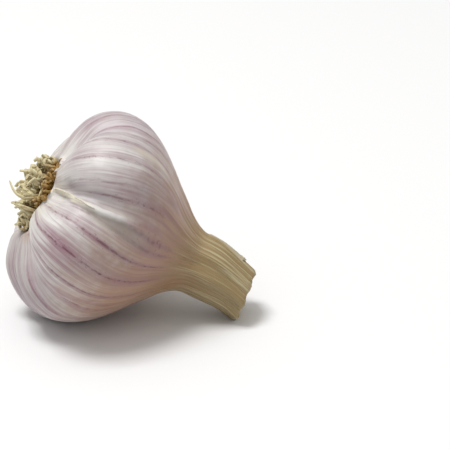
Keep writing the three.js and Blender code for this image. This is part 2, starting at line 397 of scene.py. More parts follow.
end_share = outline_radius / NECK_END_RADIUS
wobble = end_share * RING_WOBBLE
ring_place = vector(skin_surface, outline_radius * RING_WAVES, cosine * wobble, sine * wobble)
rings = (cloudy(skin_surface, ring_place, 1) - 0.5) * 2 * arc.rising(*RINGS_COME_IN)
pleats = ripples(*PLEAT_NOISE) * arc.rising(*PLEATS_COME_IN) * arc.falling(*PLEATS_DIE_AWAY)
veins = ripples(*VEIN_NOISE) * (arc.rising(*VEINS_COME_IN) + arc.rising(*NECK_VEINS_COME_IN))
dents = ripples(*DENT_NOISE) * arc.rising(*DENTS_COME_IN) * arc.falling(*DENTS_DIE_AWAY)
creases = ripples(*CREASE_NOISE) * arc.rising(*CREASES_COME_IN)

on_side = (end_share ** END_FADE).math("MINIMUM", 1)
relief = (lobes(angle, arc) + veins * given["Vein Height"] + creases * given["Neck Crease"]) * on_side
relief = relief + pleats * given["Pleat Depth"] + dents * given["Dent Depth"] + rings * given["Ring Height"]
relief = relief + lip * given["Lip Height"] - hollow * given["Hollow Depth"] - tear * given["Tear Depth"]
height = relief + given["Lift"]
radius = outline_radius + tangent_axial * height
axial = outline_axial - tangent_radius * height
open_rim = angle.bump(OPEN_RIM_ANGLE, OPEN_RIM_WIDTH) * radius.rising(SEAT_RADIUS / 2, SEAT_RADIUS)
rim_cut = OPEN_RIM_LEVEL - (radius - SEAT_RADIUS).math("MAXIMUM", 0) * OPEN_RIM_SLOPE
rim_cut = rim_cut - (1 - open_rim) * CLOSED_RIM_RISE
axial = axial.math("SMOOTH_MAX", rim_cut, OPEN_RIM_SOFTNESS)
drooped = (axial - NECK_AT).math("MAXIMUM", 0) / (NECK_END_AT - NECK_AT)
upward = radius * sine - drooped * drooped * NECK_DROOP
x, y, z = lying(axial, -(radius * cosine), upward)
feed(made["Position"], vector(skin_surface, x, y, z.math("MAXIMUM", 0)))
feed(made["Place"], vector(skin_surface, cosine, sine, arc / MM))
feed(made["Edges"], vector(skin_surface, tear, lip, hollow))


def grow(name, tree, values):
    """Runs a node tree with the given inputs, and keeps its result as a plain mesh at the origin."""
    piece = bpy.data.objects.new(name, bpy.data.meshes.new(name))
    bpy.context.collection.objects.link(piece)
    modifier = piece.modifiers.new(name, "NODES")
    modifier.node_group = tree
    for item in tree.interface.items_tree:
        if item.in_out == "INPUT" and item.name in values:
            modifier[item.identifier] = values[item.name]
    depsgraph = bpy.context.evaluated_depsgraph_get()
    mesh = bpy.data.meshes.new_from_object(
        piece.evaluated_get(depsgraph), preserve_all_data_layers=True, depsgraph=depsgraph
    )
    piece.modifiers.remove(modifier)
    piece.data = mesh
    mesh.name = name
    return piece


def mixed(tree, share, under, over):
    """A colour that goes from one to the other as the share goes from 0 to 1."""
    return result(tree, "ShaderNodeMix", {0: share, 6: under, 7: over}, 2, data_type="RGBA")


# Colours of the dry skin, from the palest layer to the veins in it, then of the neck and the rims. Some of
# them are painted shade: a grey for the lower side, a mauve for the hollow above the lip and a brown for the
# shadow at the neck.
PALE_SKIN = (0.675, 0.66, 0.635, 1)
CREAM_SKIN = (0.68, 0.62, 0.49, 1)
LILAC_SKIN = (0.53, 0.44, 0.485, 1)
# Painted shade: grey that darkens the lower side near the roots, where less light reaches
UNDERSIDE_SHADE_GREY = (0.40, 0.385, 0.375, 1)
GREY_SKIN = (0.37, 0.335, 0.315, 1)
MAUVE_SKIN = (0.345, 0.25, 0.275, 1)
# Painted shade: the dark mauve-grey of the hollow and of the band above the lip
PAINTED_HOLLOW_SHADE = (0.24, 0.195, 0.215, 1)
DEEP_MAUVE = (0.27, 0.135, 0.18, 1)
MAROON_VEIN = (0.13, 0.035, 0.055, 1)
ROSE_SKIN = (0.36, 0.22, 0.195, 1)
TAN_SKIN = (0.38, 0.21, 0.108, 1)
# Painted shadow: brown for the lower side of the neck near the body
NECK_SHADOW_BROWN = (0.25, 0.13, 0.055, 1)
RUSSET_STREAK = (0.22, 0.105, 0.10, 1)
STRAW_NECK = (0.28, 0.21, 0.09, 1)
PALE_STRAW = (0.56, 0.50, 0.31, 1)
CUT_STRAW = (0.48, 0.38, 0.20, 1)
STRAW_GAP = (0.25, 0.18, 0.08, 1)
BARE_LAYER = (0.35, 0.31, 0.27, 1)
OCHRE_RIM = (0.45, 0.30, 0.10, 1)
PEACH_RIM = (0.58, 0.36, 0.24, 1)

# The stronger stripes on the side that faces the front: place round the axis in degrees, strength,
# and the stretch from the roots towards the neck in millimetres
STRIPES = (
    (9.5, 1.0, 3, 66),
    (22, 0.95, 3, 66),
    (29.5, 0.6, 20, 66),
    (33, 0.75, 36, 66),
    (-5, 0.75, 12, 64),
    (-20, 0.7, 18, 58),
    (-34, 0.6, 14, 44),
    (-44, 0.45, 12, 38),
    (-58, 0.5, 8, 42),
    (41, 0.75, 22, 58),
    (47, 0.4, 14, 48),
    (60, 0.6, 12, 52),
    (73, 0.6, 14, 54),
    (83, 0.5, 14, 50),
    (92, 0.55, 12, 50),
    (105, 0.5, 12, 44),
    (135, 0.6, 5, 44),
)
STRIPE_HALO = 2.0
STRIPE_CORE = 0.65
STRIPE_STARTS = 8
STRIPE_ENDS = 12
HALO_SHARE = 0.46
HALO_LINES = 0.9
CORE_SHARE = 0.25
CORE_DASHES = 0.55

# The stripes fan out from the front valley on their way to the neck
FAN_MIDDLE = 35
FAN_TURN = 18
FAN_EASE = 0.42
FAN_OPENS = (20, 54)

# Streaks: waves round the bulb, waves per millimetre along it and detail, then the range that is picked out
STRIPE_SWAY = (1.5, 0.03, 1)
STRIPE_SWAY_TURN = 4
STRIPE_SHAKE = (8, 0.10, 1)
STRIPE_SHAKE_TURN = 0.8
WASH_STREAKS = (2.6, 0.02, 3)
WASH_RANGE = (0.38, 0.66)
BROAD_LINES = (9, 0.03, 2)
FINE_LINES = (24, 0.045, 3)
HAIR_LINES = (60, 0.06, 2)
DASH_STREAKS = (34, 0.5, 2)
DASH_RANGE = (0.42, 0.62)
SPECK_STREAKS = (60, 1.1, 1)
SPECK_RANGE = (0.62, 0.72)
FAR_VEINS = (5.5, 0.010, 1)
FAR_VEIN_WIDTH = 0.03
FAR_VEINS_COME_IN = (6, 16)
RUSSET_STREAKS = (15, 0.02, 2)
RUSSET_RANGE = (0.48, 0.62)
RUSSET_FADES = (56, 68)
MOTTLE_ROUND = 7
MOTTLE_ALONG = 0.25
MOTTLE_DETAIL = 4

# Patches of colour and of painted light and shade: middle and half width round the axis in degrees, middle
# and half length in millimetres
# The blush tints the skin mauve above the lip towards the neck, and also paints shade there
BLUSH_AND_SHADE_PATCH = (46, 22, 48, 10)
# Painted highlight: the front shoulder is cleared of tint to stay white where the light strikes it
SHOULDER_HIGHLIGHT_PATCH = (25, 14, 17, 10)
FRONT_LOBE_PATCH = (10, 12, 28, 8)
LOW_FRONT_PATCH = (0, 25, 46, 9)
PALE_CREST_PATCH = (58, 10, 27, 9)
# Painted shadow on the lower side of the neck
NECK_SHADOW_PATCH = (0, 28, 64, 9)

# Bands of colour and of painted light and shade: middle and half width in degrees, and where they come in or
# fade in millimetres
# Painted shade: a darker band above the lip, on the hollow of the middle lobe
SHADE_BAND_ABOVE_LIP = (46, 6)
SHADE_BAND_COMES_IN = (10, 18)
SHADE_BAND_FADES = (40, 52)
CREAM_BAND = (68.5, 2.5)
CREAM_COMES_IN = (32, 37)
CREAM_FADES = (43, 50)
# Painted shade: the lower side is tinted darker
LOW_SIDE_SHADE_BAND = (-58, 26)
# Painted shade on the lower side near the roots
UNDERSIDE_SHADE_BAND = (-48, 20)
UNDERSIDE_SHADE_FADES = (22, 38)
LILAC_BAND = (98, 27)
LILAC_COMES_IN = (6, 18)
PEACH_BAND = (-32, 14)
PEACH_FADES = (3, 9)
OCHRE_FADES = (0.5, 3.5)
# Near the roots the tint is cleared as painted highlight, and the cream there is the skin's own colour
SHOULDER_FADES = (4, 22)
SHOULDER_CREAM = (0.3, 0.7)
LIP_PALES = (20, 34)
LIP_SHOWS = (0.15, 0.8)

# The skin turns tan towards the neck and straw on it; along its lower side the tan comes in sooner as
# painted warm shade
TAN_COMES_IN = (31, 60)
TAN_MOTTLE = 18
TAN_LOW_BAND = (-5, 40)
TAN_LOW_START = 12
STRAW_COMES_IN = (57, 74)
STRAW_MOTTLE = 14
STRAW_LINES = (-0.02, 0.28)

# The cut end of the neck shows its layers as rings
CUT_FROM = (86.0, 87.2)
CUT_RIM = 87
LAYER_TURNS = 4.2
LAYER_MOTTLE = 4
LAYER_RANGE = (-1.1, 0.9)

# How strongly each of these tints the pale skin, or clears the tint. Some tints are painted shade and some
# clearings painted highlight.
PLAIN_TINT = 0.26
WASH_TINT = 0.36
MOTTLE_TINT = 0.5
BROAD_LINE_TINT = 0.95
FINE_LINE_TINT = 1.4
HAIR_LINE_TINT = 1.2
# Painted shade that darkens the lower side
LOW_SIDE_PAINTED_SHADE = 0.2
FRONT_LOBE_TINT = 0.26
BLUSH_TINT = 0.34
LOW_FRONT_TINT = 0.25
# Painted highlight: less tint near the roots
SHOULDER_LIGHT_CLEARS = 0.5
# Painted highlight on the front shoulder
SHOULDER_HIGHLIGHT_CLEARS = 0.4
PALE_CREST_CLEARS = 0.25
NECK_CLEARS = 0.7
MAUVE_WASH = 0.35
MAUVE_RANGE = (-0.15, 0.4)
# Strengths of painted shade in the hollow above the lip, in the band over it and in the blush
HOLLOW_SHADE = 0.52
# The part of the blush that is painted shade
BLUSH_SHADE = 0.12
SHADE_BAND_STRENGTH = 0.24

# The satin of dry leaf: a plain roughness with its mottle and lines, and the same for its bumps
SATIN_ROUGHNESS = 0.34
SATIN_MOTTLE = 0.14
SATIN_LINES = 0.2
BUMP_MOTTLE = 0.3
BUMP_LAYERS = 2
BUMP_STRENGTH = 0.4
BUMP_DEPTH = 0.12 * MM
SATIN_LEAF = {
    "IOR": 1.45,
    "Sheen Weight": 0.12,
    "Sheen Roughness": 0.4,
    "Subsurface Weight": 0.12,
    "Subsurface Radius": (1.0, 0.7, 0.6),
    "Subsurface Scale": 1.2 * MM,
}

papery, given, made = new_tree(
    "papery garlic skin",
    "ShaderNodeTree",
    {
        "Place": ("NodeSocketVector", None),
        "Edges": ("NodeSocketVector", None),
        "Bleach": ("NodeSocketFloat", 0.0),
    },
    {"Colour": "NodeSocketColor", "Roughness": "NodeSocketFloat", "Height": "NodeSocketFloat"},
)
cosine, sine, arc = given["Place"].split()
tear, lip, hollow = given["Edges"].split()
turned = sine.math("ARCTAN2", cosine).math("DEGREES")
aside = (turned - FAN_MIDDLE).math("RADIANS").sine()
fan = aside / (aside * aside + FAN_EASE ** 2).math("SQRT") * arc.rising(*FAN_OPENS) * FAN_TURN
stripe_angle = turned - fan
stripe_turn = stripe_angle.math("RADIANS")
around_x = stripe_turn.cosine()
around_y = stripe_turn.sine()


def streaks(around, along, detail):
    """Random values about 0.5, drawn out along the bulb."""
    return cloudy(papery, vector(papery, around_x * around, around_y * around, arc * along), detail)


def patch(middle, width, along, length):
    """A soft patch on the skin, 1 in its middle."""
    return stripe_angle.bump(middle, width) * arc.bump(along, length)


sway = (streaks(*STRIPE_SWAY) - 0.5) * STRIPE_SWAY_TURN + (streaks(*STRIPE_SHAKE) - 0.5) * STRIPE_SHAKE_TURN
halo = 0
core = 0
for at, strength, start, end in STRIPES:
    off = (stripe_angle - at + sway).math("WRAP", 180, -180)
    stretch = arc.rising(start, start + STRIPE_STARTS) * arc.falling(end - STRIPE_ENDS, end) * strength
    halo = halo + off.bump(0, STRIPE_HALO) * stretch
    core = core + off.bump(0, STRIPE_CORE) * stretch
halo = halo.math("MINIMUM", 1)
core = core.math("MINIMUM", 1)

wash = streaks(*WASH_STREAKS).rising(*WASH_RANGE)
broad_lines = streaks(*BROAD_LINES) - 0.5
fine_lines = streaks(*FINE_LINES) - 0.5
hair_lines = streaks(*HAIR_LINES) - 0.5
all_lines = broad_lines + fine_lines + hair_lines
dashes = streaks(*DASH_STREAKS).rising(*DASH_RANGE)
specks = streaks(*SPECK_STREAKS).rising(*SPECK_RANGE)
far_veins = (streaks(*FAR_VEINS) - 0.5).math("ABSOLUTE").falling(0.0, FAR_VEIN_WIDTH)
mottle_place = vector(papery, cosine * MOTTLE_ROUND, sine * MOTTLE_ROUND, arc * MOTTLE_ALONG)
mottle = cloudy(papery, mottle_place, MOTTLE_DETAIL)
mottled = mottle - 0.5
# The blush is partly a mauve tint of the skin and partly painted shade
blush_and_shade = patch(*BLUSH_AND_SHADE_PATCH)
# Painted shade: a darker band above the lip
shade_band = stripe_angle.bump(*SHADE_BAND_ABOVE_LIP) * arc.rising(*SHADE_BAND_COMES_IN) * arc.falling(*SHADE_BAND_FADES)
cream = stripe_angle.bump(*CREAM_BAND) * arc.rising(*CREAM_COMES_IN) * arc.falling(*CREAM_FADES)
shoulder = arc.falling(*SHOULDER_FADES)
# The earlier tan along the lower side is painted warm shade
tan_arc = arc + mottled * TAN_MOTTLE + stripe_angle.bump(*TAN_LOW_BAND) * TAN_LOW_START
to_neck = tan_arc.rising(*TAN_COMES_IN)
on_neck = (arc + mottled * STRAW_MOTTLE).rising(*STRAW_COMES_IN)
russet = streaks(*RUSSET_STREAKS).rising(*RUSSET_RANGE) * to_neck * arc.falling(*RUSSET_FADES)
cut_end = arc.rising(*CUT_FROM)
cut_layers = ((arc - CUT_RIM) * LAYER_TURNS + mottled * LAYER_MOTTLE).sine().rising(*LAYER_RANGE)

lines = broad_lines * BROAD_LINE_TINT + fine_lines * FINE_LINE_TINT + hair_lines * HAIR_LINE_TINT
# Near the roots the tint is cleared, as painted highlight
tint = (PLAIN_TINT + wash * WASH_TINT) * (1 - shoulder * SHOULDER_LIGHT_CLEARS) + mottled * MOTTLE_TINT
# The lower side gets more tint, as painted shade
tint = tint + stripe_angle.bump(*LOW_SIDE_SHADE_BAND) * LOW_SIDE_PAINTED_SHADE + patch(*FRONT_LOBE_PATCH) * FRONT_LOBE_TINT
# Painted highlight: the tint is cleared on the front shoulder
tint = tint - patch(*SHOULDER_HIGHLIGHT_PATCH) * SHOULDER_HIGHLIGHT_CLEARS
tint = tint - patch(*PALE_CREST_PATCH) * PALE_CREST_CLEARS
tint = tint * (1 - to_neck * NECK_CLEARS) + blush_and_shade * BLUSH_TINT + patch(*LOW_FRONT_PATCH) * LOW_FRONT_TINT
tint = (tint + lines).math("MAXIMUM", 0).math("MINIMUM", 1)
tinted = mixed(papery, (lines + wash * MAUVE_WASH).rising(*MAUVE_RANGE), GREY_SKIN, MAUVE_SKIN)

# What lies over the pale skin, in order: where it shows, how strongly, and its colour
LAYERS = (
    (shoulder * mottle.rising(*SHOULDER_CREAM), 0.45, CREAM_SKIN),
    # Painted shade: the lower side near the roots turns grey
    (stripe_angle.bump(*UNDERSIDE_SHADE_BAND) * arc.falling(*UNDERSIDE_SHADE_FADES), 0.8, UNDERSIDE_SHADE_GREY),
    (stripe_angle.bump(*LILAC_BAND) * arc.rising(*LILAC_COMES_IN), 0.5, LILAC_SKIN),
    (to_neck, 0.9, TAN_SKIN),
    (tint, 1, mixed(papery, to_neck, tinted, ROSE_SKIN)),
    (russet, 0.42, RUSSET_STREAK),
    (halo * (HALO_SHARE + fine_lines * HALO_LINES), 1, DEEP_MAUVE),
    (far_veins * arc.rising(*FAR_VEINS_COME_IN), 0.30, DEEP_MAUVE),
    (core * (CORE_SHARE + dashes * CORE_DASHES), 1, MAROON_VEIN),
    (halo * specks, 0.6, MAROON_VEIN),
    (cream, 0.6, CREAM_SKIN),
    # Painted shade: the hollow above the lip, the band over it and part of the blush go mauve-grey
    (hollow * HOLLOW_SHADE + blush_and_shade * BLUSH_SHADE + shade_band * SHADE_BAND_STRENGTH, 1, PAINTED_HOLLOW_SHADE),
    (on_neck, 0.85, STRAW_NECK),
    (all_lines.rising(*STRAW_LINES) * on_neck, 0.75, PALE_STRAW),
    # Painted shadow: the lower side of the neck turns brown
    (patch(*NECK_SHADOW_PATCH), 0.75, NECK_SHADOW_BROWN),
    (cut_end, 0.85, mixed(papery, cut_layers, STRAW_GAP, CUT_STRAW)),
    (tear, 0.7, BARE_LAYER),
    (turned.bump(*PEACH_BAND) * arc.falling(*PEACH_FADES), 0.45, PEACH_RIM),
    (arc.falling(*OCHRE_FADES), 0.65, OCHRE_RIM),
    (lip.rising(*LIP_SHOWS), 0.85, mixed(papery, arc.rising(*LIP_PALES), CREAM_SKIN, PALE_SKIN)),
    (given["Bleach"], 1, CREAM_SKIN),
)
colour = PALE_SKIN
for share, strength, paint in LAYERS:
    colour = mixed(papery, share * strength, colour, paint)
feed(made["Colour"], colour)
feed(made["Roughness"], SATIN_ROUGHNESS + mottle * SATIN_MOTTLE - fine_lines * SATIN_LINES)
bumps = 0.5 - (hair_lines + fine_lines) * (1 - cut_end) + mottle * BUMP_MOTTLE
feed(made["Height"], bumps + cut_layers * cut_end * BUMP_LAYERS)


def new_material(name):
    """An empty material, with its node tree and its shader."""
    material = bpy.data.materials.new(name)
    material.use_nodes = True
    return material, material.node_tree, material.node_tree.nodes["Principled BSDF"]


def roughen(tree, shader, height, strength, depth):
    """Gives a shader fine bumps, from a height that varies over the surface."""
    bumps = {"Height": height, "Strength": strength, "Distance": depth}
    feed(shader.inputs["Normal"], result(tree, "ShaderNodeBump", bumps))


def papery_material(name, bleach):
    """Thin dry leaf with a satin face, coloured by where it lies on the bulb."""
    material, tree, shader = new_material(name)
    inputs = {"Bleach": bleach}
    for label in ("Place", "Edges"):
        kept_as = f"skin {label.lower()}"
        inputs[label] = result(tree, "ShaderNodeAttribute", None, "Vector", attribute_name=kept_as)
    pattern = add_node(tree, "ShaderNodeGroup", inputs, node_tree=papery)
    feed(shader.inputs["Base Color"], Field(tree, pattern.outputs["Colour"]))
    feed(shader.inputs["Roughness"], Field(tree, pattern.outputs["Roughness"]))
    roughen(tree, shader, Field(tree, pattern.outputs["Height"]), BUMP_STRENGTH, BUMP_DEPTH)
    for label, value in SATIN_LEAF.items():
        shader.inputs[label].default_value = value
    return material


def flat_grid(tree, columns, rows):
    """A flat grid from -0.5 to 0.5 both ways: its mesh, and where each point lies on it."""
    sizes = {"Size X": 1.0, "Size Y": 1.0, "Vertices X": columns, "Vertices Y": rows}
    mesh = result(tree, "GeometryNodeMeshGrid", sizes, "Mesh")
    x, y, _ = result(tree, "GeometryNodeInputPosition").split()
    return mesh, x, y


def store(tree, geometry, name, value, data_type):
    """Keeps a value on the mesh, under a name that the material reads."""
    inputs = {"Geometry": geometry, "Name": name, "Value": value}
    return result(tree, "GeometryNodeStoreNamedAttribute", inputs, data_type=data_type, domain="POINT")


def laid_on_skin(tree, geometry, outline_object, angle, share, lift):
    """Moves a flat grid onto the skin surface, and keeps where each point lies on the bulb."""
    outline = result(tree, "GeometryNodeObjectInfo", {"Object": outline_object}, "Geometry")
    inputs = {"Outline": outline, "Angle": angle, "Share": share, "Lift": lift}
    skin = add_node(tree, "GeometryNodeGroup", inputs, node_tree=skin_surface)
    for label in ("Place", "Edges"):
        value = Field(tree, skin.outputs[label])
        geometry = store(tree, geometry, f"skin {label.lower()}", value, "FLOAT_VECTOR")
    moved = {"Geometry": geometry, "Position": Field(tree, skin.outputs["Position"])}
    return result(tree, "GeometryNodeSetPosition", moved)


def finish_tree(tree, geometry, material, end):
    """Realizes, smooths and paints the geometry, as the last nodes of a tree."""
    realized = result(tree, "GeometryNodeRealizeInstances", {"Geometry": geometry})
    smooth = result(tree, "GeometryNodeSetShadeSmooth", {"Geometry": realized})
    painted = result(tree, "GeometryNodeSetMaterial", {"Geometry": smooth, "Material": material})
    feed(end["Geometry"], painted)


bulb_tree, given, made = new_tree(
    "bulb skin",
    "GeometryNodeTree",
    {
        "Outline": ("NodeSocketObject", None),
        "Material": ("NodeSocketMaterial", None),
        **size_sockets(SKIN_POINTS),
    },
    {"Geometry": "NodeSocketGeometry"},
)
grid, grid_x, grid_y = flat_grid(bulb_tree, given["Columns"], given["Rows"])
placed = laid_on_skin(bulb_tree, grid, given["Outline"], grid_x * -360, grid_y + 0.5, 0.0)
closed = result(bulb_tree, "GeometryNodeMergeByDistance", {"Geometry": placed, "Distance": SEAM_GAP})
finish_tree(bulb_tree, closed, given["Material"], made)

outline_curve = bulb_outline()
bulb = grow("bulb_skin", bulb_tree, {
    **SKIN_POINTS,
    "Outline": outline_curve,
    "Material": papery_material("papery bulb skin", 0.0),
})
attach(bulb, "root")
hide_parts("bulb")


# Root plate
# The hard corky disc at the foot of the bulb that all the roots grow from. It is the bulb's own stem,
# dried to a lumpy crust, and it sits sunk between the shoulders.
PLATE_SIZES = {"Radius": 9.2 * MM, "Crown": 1.7 * MM, "Lumps": 0.9 * MM}
PLATE_RAISED = 0.2 * MM
PLATE_SEGMENTS = 64
PLATE_RINGS = 32
LUMP_WAVES = 4
TUFT_RISE = 0.4 * MM
CORK_DARK = (0.09, 0.045, 0.012, 1)
CORK_LIGHT = (0.36, 0.22, 0.06, 1)
CORK_GRAIN = 700.0
CORK_LIGHTENS = (0.35, 0.68)
CORK_ROUGHNESS = 0.75
CORK_ROUGHNESS_GRAIN = 0.2
CORK_BUMP_STRENGTH = 0.8
CORK_BUMP_DEPTH = 0.4 * MM
GRAIN_DETAIL = 4

plate_tree, given, made = new_tree(
    "root plate",
    "GeometryNodeTree",
    {**size_sockets(PLATE_SIZES), "Material": ("NodeSocketMaterial", None)},
    {"Geometry": "NodeSocketGeometry"},
)
ball_sizes = {"Segments": PLATE_SEGMENTS, "Rings": PLATE_RINGS, "Radius": 1.0}
ball = result(plate_tree, "GeometryNodeMeshUVSphere", ball_sizes, "Mesh")
ball_x, ball_y, ball_z = result(plate_tree, "GeometryNodeInputPosition").split()
lump_place = vector(plate_tree, ball_x * LUMP_WAVES, ball_y * LUMP_WAVES, ball_z * LUMP_WAVES)
lumps = (cloudy(plate_tree, lump_place, 3) - 0.5) * given["Lumps"] * 2
plate_axial = -(ball_z * (given["Crown"] + lumps)) - PLATE_RAISED
plate_place = lying(plate_axial, ball_y * given["Radius"], ball_x * given["Radius"] + TUFT_RISE)
moved = {"Geometry": ball, "Position": vector(plate_tree, *plate_place)}
finish_tree(plate_tree, result(plate_tree, "GeometryNodeSetPosition", moved), given["Material"], made)

dry_grain, given, made = new_tree(
    "dry grain",
    "ShaderNodeTree",
    {"Place": ("NodeSocketVector", None), "Waves": ("NodeSocketFloat", CORK_GRAIN)},
    {"Grain": "NodeSocketFloat"},
)
x, y, z = (along * given["Waves"] for along in given["Place"].split())
feed(made["Grain"], cloudy(dry_grain, vector(dry_grain, x, y, z), GRAIN_DETAIL))


def grained(tree, waves):
    """Fine grain through a dry piece, with so many waves per metre."""
    place = result(tree, "ShaderNodeTexCoord", None, "Object")
    return result(tree, "ShaderNodeGroup", {"Place": place, "Waves": waves}, node_tree=dry_grain)


def cork_material():
    """Dry cork, dark in its pits."""
    material, tree, shader = new_material("root plate cork")
    grain = grained(tree, CORK_GRAIN)
    feed(shader.inputs["Base Color"], mixed(tree, grain.rising(*CORK_LIGHTENS), CORK_DARK, CORK_LIGHT))
    feed(shader.inputs["Roughness"], CORK_ROUGHNESS + grain * CORK_ROUGHNESS_GRAIN)
    roughen(tree, shader, grain, CORK_BUMP_STRENGTH, CORK_BUMP_DEPTH)
    return material


plate = grow("root_plate", plate_tree, {**PLATE_SIZES, "Material": cork_material()})
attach(plate, "root")
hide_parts("root_tuft")


# Roots
# Dried roots that stand in a matted tuft on the root plate, trimmed short, flattened and curled in drying.
# Thick ones carry the tuft, fine ones fill it, and short golden ones lean out over the open rim.
ROOT_SEED = 11
THICK_ROOTS = {
    "Count": 84,
    "Steps": 16,
    "Spread": 8.8 * MM,
    "Ring": 0.0,
    "Turn Middle": 180.0,
    "Turn Range": 360.0,
    "Length": 8.0 * MM,
    "Lean": 8.0,
    "Wander": 6.0 * MM,
    "Thickness": 0.9 * MM,
    "Gold": 0.0,
    "Seed": ROOT_SEED,
}
FINE_ROOTS = {
    **THICK_ROOTS,
    "Count": 46,
    "Steps": 14,
    "Spread": 9.2 * MM,
    "Length": 6.0 * MM,
    "Lean": 16.0,
    "Wander": 7.0 * MM,
    "Thickness": 0.45 * MM,
    "Seed": ROOT_SEED + 1,
}
EDGE_ROOTS = {
    **THICK_ROOTS,
    "Count": 30,
    "Steps": 14,
    "Spread": 9.8 * MM,
    "Ring": 0.88,
    "Turn Middle": 46.0,
    "Turn Range": 44.0,
    "Length": 5.2 * MM,
    "Lean": 56.0,
    "Wander": 3.0 * MM,
    "Thickness": 0.65 * MM,
    "Gold": 0.7,
    "Seed": ROOT_SEED + 2,
}

# How one root differs from the next: turn in radians, lean, length, thickness and twist, shorter at the rim
# and longer at the top of the tuft
GOLDEN_TURN = (3 - math.sqrt(5)) / 2
TURN_DRAW = 0.4
LEAN_DRAW = 0.45
LENGTH_DRAW = (0.7, 1.1)
THICKNESS_DRAW = (0.65, 1.2)
FULL_TURN = 6.28
TWIST_DRAW = 2.5
RIM_SHORTER = 0.35
TOP_LONGER = 0.25
DRAW_STRIDE = 31

# The curl of a root: noise per root, along it and per seed, growing towards the tip
CURL_NOISE = (7.31, 2.2, 3.7)
CURL_GROWTH = 1.3
CURL_IN_DEPTH = 0.8
ROOT_SUNK = 0.4 * MM

# Its section: knots along it, a slight taper and a round tip
ROOT_FACETS = 8
ROOT_FLATNESS = 0.5
KNOT_NOISE = (3.3, 6, 0.5)
KNOT_THIN = 0.75
KNOT_THICK = 0.5
TIP_TAPER = 0.2
TIP_ROUND = (0.95, 1.2)

STRAW_ROOT = (0.64, 0.57, 0.35, 1)
GREY_ROOT = (0.46, 0.42, 0.27, 1)
OCHRE_ROOT = (0.30, 0.155, 0.02, 1)
ROOT_GREYS = (0.3, 1.0)
ROOT_GREY_SHARE = 0.7
ROOT_GRAIN = 900.0
FOOT_GRAIN = 0.5
FOOT_FADES = (0.1, 0.7)
FLECK_RANGE = (0.5, 0.75)
FLECK_SHARE = 0.45
ROOT_ROUGHNESS = 0.65
ROOT_ROUGHNESS_GRAIN = 0.25
ROOT_BUMP_STRENGTH = 0.6
ROOT_BUMP_DEPTH = 0.15 * MM

root_tree, given, made = new_tree(
    "dried roots",
    "GeometryNodeTree",
    {**size_sockets(THICK_ROOTS), "Material": ("NodeSocketMaterial", None)},
    {"Geometry": "NodeSocketGeometry"},
)
strand = result(root_tree, "GeometryNodeCurvePrimitiveLine")
strand = result(root_tree, "GeometryNodeResampleCurve", {"Curve": strand, "Count": given["Steps"]})
copies = {"Geometry": strand, "Amount": given["Count"]}
strands = result(root_tree, "GeometryNodeDuplicateElements", copies, "Geometry", domain="SPLINE")
root_index = result(root_tree, "GeometryNodeCurveOfPoint", None, "Curve Index")
part = result(root_tree, "GeometryNodeSplineParameter", None, "Factor")


def drawn(low, high, draw):
    """A random number for each root, different for each draw."""
    inputs = {2: low, 3: high, 7: root_index, 8: given["Seed"] * DRAW_STRIDE + draw}
    return result(root_tree, "FunctionNodeRandomValue", inputs, 1, data_type="FLOAT")


spread_share = given["Ring"] + (1 - given["Ring"]) * ((root_index + 0.5) / given["Count"]).math("SQRT")
turn_share = (root_index * GOLDEN_TURN).math("FRACT") - 0.5
around = (given["Turn Middle"] + given["Turn Range"] * turn_share).math("RADIANS")
around = around + drawn(-TURN_DRAW, TURN_DRAW, 1)
lean = (given["Lean"] * (spread_share + drawn(-LEAN_DRAW, LEAN_DRAW, 2))).math("RADIANS")
length = given["Length"] * drawn(*LENGTH_DRAW, 3) * (1 - spread_share * spread_share * RIM_SHORTER)
length = length * (1 + spread_share * around.sine() * TOP_LONGER)
curl_root, curl_along, curl_seed = CURL_NOISE
curl_place = vector(root_tree, root_index * curl_root, part * curl_along, given["Seed"] * curl_seed)
curl_x, curl_y, curl_z = cloudy(root_tree, curl_place, 1, colour=True).split()
curl = part ** CURL_GROWTH * given["Wander"] * 2
outward = spread_share * given["Spread"] + length * part * lean.sine()
across = -(outward * around.cosine()) + (curl_x - 0.5) * curl
upward = outward * around.sine() + (curl_y - 0.5) * curl + TUFT_RISE
axial = ROOT_SUNK - length * part * lean.cosine() + (curl_z - 0.5) * curl * CURL_IN_DEPTH
moved = {"Geometry": strands, "Position": vector(root_tree, *lying(axial, across, upward))}
set_roots = result(root_tree, "GeometryNodeSetPosition", moved)
knot_root, knot_along, knot_seed = KNOT_NOISE
knots = cloudy(root_tree, vector(root_tree, root_index * knot_root, part * knot_along, knot_seed), 2)
taper = (1 - part * TIP_TAPER) * (KNOT_THIN + knots * KNOT_THICK) * part.falling(*TIP_ROUND)
taper = taper * drawn(*THICKNESS_DRAW, 4)


def root_tubes(tree, strands, part, radius, twist, shade, material, end):
    """Gives strands their flattened section, their twist and the values that the material reads."""
    sized = result(tree, "GeometryNodeSetCurveRadius", {"Curve": strands, "Radius": radius})
    twisted = result(tree, "GeometryNodeSetCurveTilt", {"Curve": sized, "Tilt": twist})
    kept = store(tree, twisted, "root part", part, "FLOAT")
    kept = store(tree, kept, "root shade", shade, "FLOAT")
    circle = result(tree, "GeometryNodeCurvePrimitiveCircle", {"Resolution": ROOT_FACETS, "Radius": 1.0})
    section = result(tree, "GeometryNodeTransform", {"Geometry": circle, "Scale": (1.0, ROOT_FLATNESS, 1.0)})
    thickness = result(tree, "GeometryNodeInputRadius")
    swept = {"Curve": kept, "Profile Curve": section, "Scale": thickness, "Fill Caps": True}
    finish_tree(tree, result(tree, "GeometryNodeCurveToMesh", swept), material, end)


